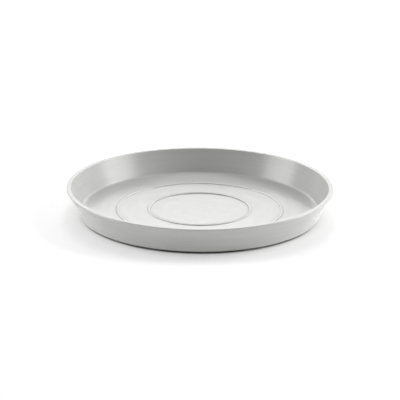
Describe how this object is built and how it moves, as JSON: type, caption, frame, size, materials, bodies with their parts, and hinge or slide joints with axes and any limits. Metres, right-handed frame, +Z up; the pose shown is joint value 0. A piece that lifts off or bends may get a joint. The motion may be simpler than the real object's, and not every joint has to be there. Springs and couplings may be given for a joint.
{
  "type": "plant saucer",
  "caption": "Round shallow plant saucer with a flared wall, a lip that turns outwards and raised rings on its floor, on stick-on pads; it catches the water that drains from a plant pot.",
  "frame": {"origin": "on the ground, under the middle of the saucer", "axes": "+Z up, along the axis that the saucer is turned about; X and Y run level between the pads"},
  "size_m": [0.26, 0.26, 0.0286],
  "materials": {
    "saucer_plastic": "light grey satin moulded plastic with fine streaks round the axis",
    "pad_rubber": "dark grey matt rubber"
  },
  "bodies": {
    "root": {"saucer": "saucer_plastic", "floor_pad_1": "pad_rubber", "floor_pad_2": "pad_rubber", "floor_pad_3": "pad_rubber", "floor_pad_4": "pad_rubber"}
  },
  "joints": []
}
